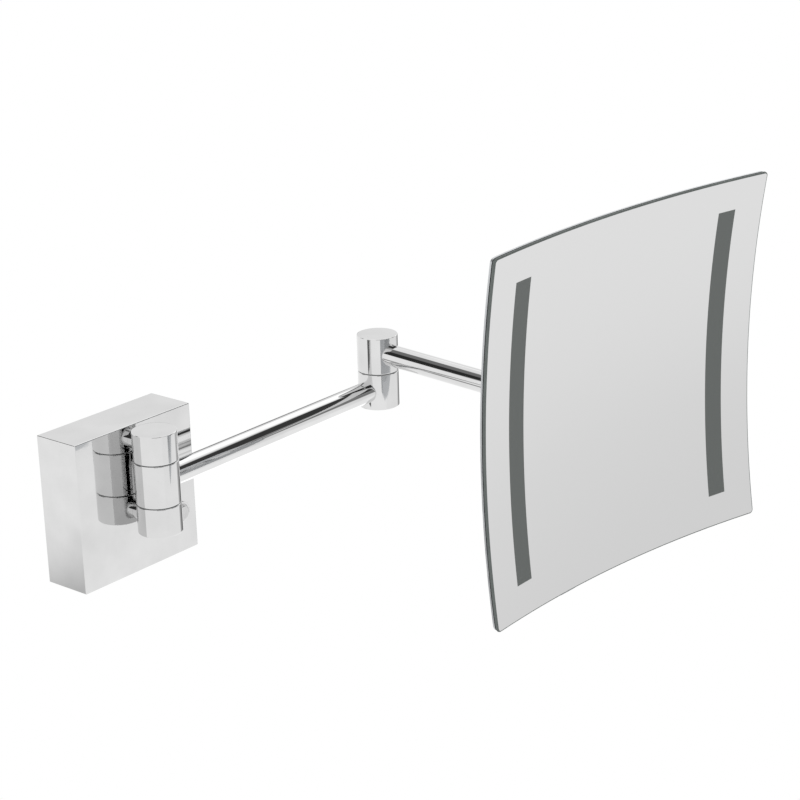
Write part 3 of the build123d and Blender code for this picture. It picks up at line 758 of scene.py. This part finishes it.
def studio_camera(stage):
    """Camera in the room, left of the mirror, looking slightly down."""
    data = bpy.data.cameras.new("camera")
    data.lens = stage.lens
    data.clip_start = 0.01
    camera = bpy.data.objects.new("camera", data)
    turn = (Matrix.Rotation(stage.heading, 4, "Z")
            @ Matrix.Rotation(math.pi / 2 + stage.tilt, 4, "X")
            @ Matrix.Rotation(stage.roll, 4, "Z"))
    camera.matrix_world = Matrix.Translation(stage.camera_place) @ turn
    bpy.context.scene.collection.objects.link(camera)
    bpy.context.scene.camera = camera


class SHAVING_OT_stage(bpy.types.Operator):
    """Set up the camera, the white floor and the studio light"""
    bl_idname = "shaving.stage"
    bl_label = "Stage"

    def execute(self, context):
        stage = context.scene.mirror_stage
        studio_camera(stage)
        pale_floor(stage)
        key_light(stage)
        context.scene.world = studio_world(stage.room)
        context.scene.view_settings.view_transform = "Standard"
        return {"FINISHED"}


# ---------------------------------------------------------------- wall unit

def box_shell(low, high, wall):
    """Square shell, open at its back, from its outer corners and wall."""
    inner_low = Vector((low.x + wall, low.y + wall, low.z + wall))
    inner_high = Vector((high.x - wall, high.y, high.z - wall))
    outer = [(x, y, z) for y in (low.y, high.y) for x, z in
             ((low.x, low.z), (high.x, low.z), (high.x, high.z), (low.x, high.z))]
    inner = [(x, y, z) for y in (inner_low.y, inner_high.y) for x, z in
             ((inner_low.x, inner_low.z), (inner_high.x, inner_low.z),
              (inner_high.x, inner_high.z), (inner_low.x, inner_high.z))]
    faces = [[0, 1, 2, 3], [11, 10, 9, 8]]
    for step in range(4):
        after = (step + 1) % 4
        faces.append([step, step + 4, after + 4, after])
        faces.append([step + 8, after + 8, after + 12, step + 12])
        faces.append([step + 4, step + 12, after + 12, after + 4])
    return outer + inner, faces


class SHAVING_OT_wall_box(bpy.types.Operator):
    """Build the square chrome cover of the wall box"""
    bl_idname = "shaving.wall_box"
    bl_label = "Wall box"

    def execute(self, context):
        sizes = context.scene.mirror_sizes
        low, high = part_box("wall_box_cover")
        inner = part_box("wall_bracket")[0]
        wall = inner.x - low.x
        cover = piece("box_cover", box_shell(low, high, wall), "wall_unit", ["chrome"],
                      ["wall_box_cover"])
        soften_edges(cover, sizes.box_edge)
        return {"FINISHED"}


class SHAVING_OT_push_button(bpy.types.Operator):
    """Build the round push button and its bezel"""
    bl_idname = "shaving.push_button"
    bl_label = "Push button"

    def execute(self, context):
        sizes = context.scene.mirror_sizes
        low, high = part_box("switch_bezel")
        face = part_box("wall_box_cover")[0].y
        cap_low, cap_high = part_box("switch_button")
        outer = (high.x - low.x) / 2
        inner = (cap_high.x - cap_low.x) / 2 + sizes.button_gap
        rise = face - low.y
        place = aimed(Vector(((low.x + high.x) / 2, face, (low.z + high.z) / 2)),
                      Vector((0.0, -1.0, 0.0)))
        ring = rounded([(outer, -BEZEL_SKIRT), (outer, rise), (inner, rise),
                        (inner, -BUTTON_DEPTH)], sizes.bezel_lip * 0.6)
        piece("button_bezel", moved(turned(ring), place), "wall_unit", ["chrome"],
              ["switch_bezel"])
        top = face - cap_low.y
        edge = inner - sizes.button_gap
        cap = rounded([(0, -BUTTON_DEPTH), (edge, -BUTTON_DEPTH), (edge, top),
                       (0, top - BUTTON_CROWN)], sizes.button_lip)
        piece("push_button", moved(turned(cap), place), "power_button", ["button"],
              ["switch_button"])
        return {"FINISHED"}


class SHAVING_OT_wall_hinge(bpy.types.Operator):
    """Build the fixed and turning sections of the wall hinge"""
    bl_idname = "shaving.wall_hinge"
    bl_label = "Wall hinge"

    def execute(self, context):
        sizes = context.scene.mirror_sizes
        axis = joint_place("wall_hinge")
        radius = node_radius("arm1_barrel")
        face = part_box("wall_box_cover")[0].y
        place = Matrix.Translation((axis.x, axis.y, 0.0))
        for name, node in (("upper_hinge_post", "hinge_post_top"),
                           ("lower_hinge_post", "hinge_post_bottom")):
            low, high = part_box(node)
            if node == "hinge_post_top":
                body = drum(radius, low.z, high.z, sizes.rim_break)
            else:
                body = counterbored_drum(radius, low.z, high.z, sizes.rim_break,
                                         sizes.pin_head_radius, sizes.pin_head_depth)
            middle = (low.z + high.z) / 2
            neck_end = face - axis.y - NECK_GAP
            reach = sizes.neck_radius
            neck = turned([(0, 0), (reach, 0), (reach, neck_end), (0, neck_end)])
            neck = moved(neck, aimed(Vector((axis.x, axis.y, middle)), Vector((0.0, 1.0, 0.0))))
            made = piece(name, joined(moved(body, place), neck), "wall_unit", ["chrome"],
                         [node])
            made.data.set_sharp_from_angle(angle=SHARP)
        low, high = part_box("arm1_barrel")
        piece("turning_hinge_section", moved(drum(radius, low.z, high.z, sizes.rim_break), place),
              "arm1", ["chrome"], ["arm1_barrel"])
        return {"FINISHED"}


# ---------------------------------------------------------------- arms

def level_run(start, end):
    """Horizontal distance and direction between two joints."""
    run = Vector((end.x - start.x, end.y - start.y, 0.0))
    return run.length, run.normalized()


class SHAVING_OT_arms(bpy.types.Operator):
    """Build both arm tubes and the elbow and swivel sections"""
    bl_idname = "shaving.arms"
    bl_label = "Arms"

    def execute(self, context):
        sizes = context.scene.mirror_sizes
        wall, elbow = joint_place("wall_hinge"), joint_place("elbow")
        swivel = joint_place("head_swivel")
        for name, node, start, end, body in (("first_arm", "arm1_tube", wall, elbow, "arm1"),
                                             ("second_arm", "arm2_tube", elbow, swivel, "arm2")):
            low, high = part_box(node)
            run, direction = level_run(start, end)
            place = aimed(Vector((start.x, start.y, (low.z + high.z) / 2)), direction)
            tube = pipe(sizes.tube_radius, sizes.tube_wall, sizes.socket_depth,
                        run - sizes.socket_depth)
            made = piece(name, moved(tube, place), body, ["chrome"], [node])
            made.data.set_sharp_from_angle(angle=SHARP)
        for name, node, axis, body in (("elbow_lower_section", "elbow_lower", elbow, "arm1"),
                                       ("elbow_upper_section", "elbow_upper", elbow, "arm2"),
                                       ("swivel_lower_section", "swivel_lower", swivel, "arm2"),
                                       ("swivel_upper_section", "swivel_upper", swivel,
                                        "head_mount")):
            low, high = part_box(node)
            radius = node_radius("arm1_barrel")
            if "lower" in node:
                shape = counterbored_drum(radius, low.z, high.z, sizes.rim_break,
                                          sizes.pin_head_radius, sizes.pin_head_depth)
            else:
                shape = drum(radius, low.z, high.z, sizes.rim_break)
            piece(name, moved(shape, Matrix.Translation((axis.x, axis.y, 0.0))), body,
                  ["chrome"], [node])
        return {"FINISHED"}


# ---------------------------------------------------------------- head

class SHAVING_OT_ball_joint(bpy.types.Operator):
    """Build the ball stud and the socket on the housing's back"""
    bl_idname = "shaving.ball_joint"
    bl_label = "Ball joint"

    def execute(self, context):
        sizes = context.scene.mirror_sizes
        swivel, ball = joint_place("head_swivel"), joint_place("head_tilt")
        reach, direction = level_run(swivel, ball)
        low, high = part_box("ball_stud")
        radius = (high.z - low.z) / 2
        start = math.asin(sizes.stud_radius / radius)
        profile = [(0.0, sizes.socket_depth), (sizes.stud_radius, sizes.socket_depth)]
        arc = 48
        for step in range(arc + 1):
            angle = start + (math.pi - start) * step / arc
            profile.append((radius * math.sin(angle), reach - radius * math.cos(angle)))
        profile[-1] = (0.0, reach + radius)
        stud = piece("ball_and_stud", moved(turned(profile), aimed(swivel, direction)),
                     "head_mount", ["chrome"], ["ball_stud"])
        stud.data.set_sharp_from_angle(angle=SHARP)
        low, high = head_box("ball_socket")
        back = head_box("back_housing")[0].z
        flange = (high.x - low.x) / 2
        liner = head_box("ball_liner")
        cavity = (liner[1].x - liner[0].x) / 2 + LINER_GAP
        outer = cavity + sizes.cup_wall
        mouth = liner[0].z
        mouth_radius = math.sqrt(cavity ** 2 - mouth ** 2)
        inside = [(mouth_radius, low.z)]
        for step in range(arc // 2 + 1):
            angle = math.pi - (math.pi - math.asin(mouth_radius / cavity)) * (1 - step / (arc // 2))
            inside.append((cavity * math.sin(angle), -cavity * math.cos(angle)))
        inside[-1] = (0.0, cavity)
        inside.reverse()
        outside = rounded([(mouth_radius, low.z), (outer - CUP_RIM, low.z),
                           (outer, low.z + CUP_RIM), (outer, back - sizes.flange_thickness),
                           (flange, back - sizes.flange_thickness), (flange, back),
                           (outer, back)], CUP_BREAK)
        cup = piece("ball_socket_cup", moved(turned(inside + outside[1:]), head_matrix()),
                    "head", ["chrome"], ["ball_socket"])
        cup.data.set_sharp_from_angle(angle=SHARP)
        return {"FINISHED"}


class SHAVING_OT_glass(bpy.types.Operator):
    """Build the concave silvered glass with its two frosted light windows"""
    bl_idname = "shaving.glass"
    bl_label = "Mirror glass"

    def execute(self, context):
        sizes = context.scene.mirror_sizes
        low, high = head_box("mirror_glass")
        half = (high.x - low.x) / 2
        inner, outer, tall = sizes.window_inner, sizes.window_outer, sizes.window_half
        windows = [(-outer, -inner, -tall, tall), (inner, outer, -tall, tall)]
        points, faces, kinds = dish_slab(half, sizes.glass_corner, 0.0, sizes.glass_thickness,
                                         windows)
        glass = piece("mirror_glass_silvered", moved((points, faces), head_matrix()), "head",
                      ["silver", "glass_edge"],
                      ["mirror_glass", "mirror_coating"], [min(kind, 1) for kind in kinds])
        glass.data.set_sharp_from_angle(angle=DISH_SHARP)
        grind_rim(glass, half)
        for side, (x0, x1, y0, y1) in zip(("left", "right"), windows):
            strip = window_strip(x0, x1, y0, y1, sizes)
            made = piece(f"light_window_{side}", moved(strip, head_matrix()), "head", ["frosted"],
                         [f"diffuser_{side}"])
            made.data.set_sharp_from_angle(angle=DISH_SHARP)
        return {"FINISHED"}


def window_strip(x0, x1, y0, y1, sizes, across=6, along=60):
    """Frosted strip that fills a window, flush with the glass."""
    front, back = WINDOW_SINK, sizes.glass_thickness
    points, faces = [], []
    for depth in (front, back):
        for i in range(across + 1):
            for j in range(along + 1):
                x, y = x0 + (x1 - x0) * i / across, y0 + (y1 - y0) * j / along
                points.append((x, y, dish_height(x, y, depth)))
    count, row = (across + 1) * (along + 1), along + 1
    for i in range(across):
        for j in range(along):
            a = i * row + j
            faces.append([a, a + row, a + row + 1, a + 1])
            faces.append([count + a, count + a + 1, count + a + row + 1, count + a + row])
    rim = [j for j in range(row)] + [i * row + along for i in range(1, across + 1)]
    rim += [across * row + j for j in range(along - 1, -1, -1)]
    rim += [i * row for i in range(across - 1, 0, -1)]
    for a, b in zip(rim, rim[1:] + rim[:1]):
        faces.append([a, b, count + b, count + a])
    return points, faces


class SHAVING_OT_back(bpy.types.Operator):
    """Build the backing plate and the housing behind the glass"""
    bl_idname = "shaving.back"
    bl_label = "Plate and housing"

    def execute(self, context):
        sizes = context.scene.mirror_sizes
        glass = head_box("mirror_glass")
        half = (glass[1].x - glass[0].x) / 2 - sizes.plate_inset
        front = sizes.glass_thickness + sizes.coating
        back = front + sizes.plate_thickness
        points, faces, _ = dish_slab(half, sizes.glass_corner, front, back)
        lug = lug_shape(half, front, back, sizes)
        plate = piece("backing_sheet", moved(joined((points, faces), lug), head_matrix()), "head",
                      ["plate"], ["backing_plate"])
        plate.data.set_sharp_from_angle(angle=DISH_SHARP)
        housing = housing_shape(back, sizes)
        made = piece("housing_pan", moved(housing, head_matrix()), "head", ["housing"],
                     ["back_housing"])
        made.data.set_sharp_from_angle(angle=SHARP)
        return {"FINISHED"}


def lug_shape(half, front, back, sizes, steps=10):
    """Small rounded lug that stands out under the plate."""
    reach = sizes.lug_drop
    radius = reach * 0.9
    left = sizes.lug_middle - sizes.lug_width / 2
    right = sizes.lug_middle + sizes.lug_width / 2
    bottom = -half - reach
    outline = [(left, -half + LUG_ROOT)]
    for middle, start in ((left + radius, math.pi), (right - radius, 1.5 * math.pi)):
        for step in range(steps + 1):
            angle = start + math.pi / 2 * step / steps
            outline.append((middle + radius * math.cos(angle),
                            bottom + radius + radius * math.sin(angle)))
    outline.append((right, -half + LUG_ROOT))
    front_ring = [(x, y, dish_height(x, y, front)) for x, y in outline]
    back_ring = [(x, y, dish_height(x, y, back)) for x, y in outline]
    return stacked([back_ring, front_ring], True, True)


def housing_shape(depth, sizes):
    """Shallow pan: a flat back, sloping sides and a straight lip against the plate."""
    low, high = head_box("back_housing")
    lip = (high.x - low.x) / 2
    back_half, floor = sizes.housing_back_half, low.z
    slope_top = floor + sizes.housing_slope
    profile = rounded([(back_half - HOUSING_FLAT, floor), (back_half, floor), (lip, slope_top),
                       (lip, slope_top + HOUSING_LIP)], sizes.housing_edge, 5, HOUSING_HOLD)
    growth = (sizes.housing_lip_corner - sizes.housing_back_corner) / (lip - back_half)
    rings = []
    for half, height in profile[:-1]:
        grown = growth * (half - back_half) if half > back_half else half - back_half
        corner = max(SMALLEST_CORNER, sizes.housing_back_corner + grown)
        rings.append(rounded_square(half, corner, height))
    rings.append(rounded_square(lip, sizes.housing_lip_corner,
                                lambda x, y: dish_height(x, y, depth)))
    return stacked(rings)


# ---------------------------------------------------------------- carried-over CAD nodes

CARRIED = {
    "bracket": ["wall_bracket"],
    "screw": ["cover_grub_screws", "driver_screws", "neck_screws", "hinge_pin", "elbow_pin",
              "swivel_pin", "tilt_pin", "socket_screws", "housing_screws"],
    "rubber": ["lead_grommet"],
    "driver": ["led_driver"],
    "terminal": ["terminal_block"],
    "brass": ["switch_nut"],
    "switch": ["switch_body"],
    "seam": ["hinge_washers", "elbow_washer", "swivel_washer"],
    "nylon": ["hinge_bush", "elbow_bush", "swivel_bush", "ball_liner"],
    "lead": ["arm1_lead", "arm2_lead"],
    "board": ["led_strip_left", "led_strip_right"],
}


class SHAVING_OT_inner_parts(bpy.types.Operator):
    """Give the CAD pieces that stay as they are their finishes"""
    bl_idname = "shaving.inner_parts"
    bl_label = "Inner parts"

    def execute(self, context):
        for name, nodes in CARRIED.items():
            for node in nodes:
                slots = frame["nodes"][node].material_slots
                for slot in slots:
                    slot.material = finish(name)
                if not slots:
                    raise RuntimeError(f"{node} has no material slot")
        return {"FINISHED"}


# ---------------------------------------------------------------- panel and registration

OPERATORS = (SHAVING_OT_stage, SHAVING_OT_wall_box, SHAVING_OT_push_button,
             SHAVING_OT_wall_hinge, SHAVING_OT_arms, SHAVING_OT_ball_joint, SHAVING_OT_glass,
             SHAVING_OT_back, SHAVING_OT_inner_parts)


class SHAVING_PT_panel(bpy.types.Panel):
    """Buttons that build the mirror, piece by piece"""
    bl_idname = "SHAVING_PT_panel"
    bl_label = "Shaving mirror"
    bl_space_type = "VIEW_3D"
    bl_region_type = "UI"
    bl_category = "Shaving mirror"

    def draw(self, context):
        for operator in OPERATORS:
            self.layout.operator(operator.bl_idname)


GROUPS = {"mirror_finishes": MirrorFinishes, "mirror_sizes": MirrorSizes,
          "mirror_stage": MirrorStage}


def register():
    for group in GROUPS.values():
        bpy.utils.register_class(group)
    for name, group in GROUPS.items():
        setattr(bpy.types.Scene, name, PointerProperty(type=group))
    for operator in OPERATORS:
        bpy.utils.register_class(operator)
    bpy.utils.register_class(SHAVING_PT_panel)


def unregister():
    bpy.utils.unregister_class(SHAVING_PT_panel)
    for operator in reversed(OPERATORS):
        bpy.utils.unregister_class(operator)
    for name, group in GROUPS.items():
        delattr(bpy.types.Scene, name)
        bpy.utils.unregister_class(group)


def main():
    """Register, and build everything in order."""
    register()
    bpy.ops.shaving.stage()
    bpy.ops.shaving.wall_box()
    bpy.ops.shaving.push_button()
    bpy.ops.shaving.wall_hinge()
    bpy.ops.shaving.arms()
    bpy.ops.shaving.ball_joint()
    bpy.ops.shaving.glass()
    bpy.ops.shaving.back()
    bpy.ops.shaving.inner_parts()
    bpy.context.view_layer.update()


if __name__ == "__main__":
    main()
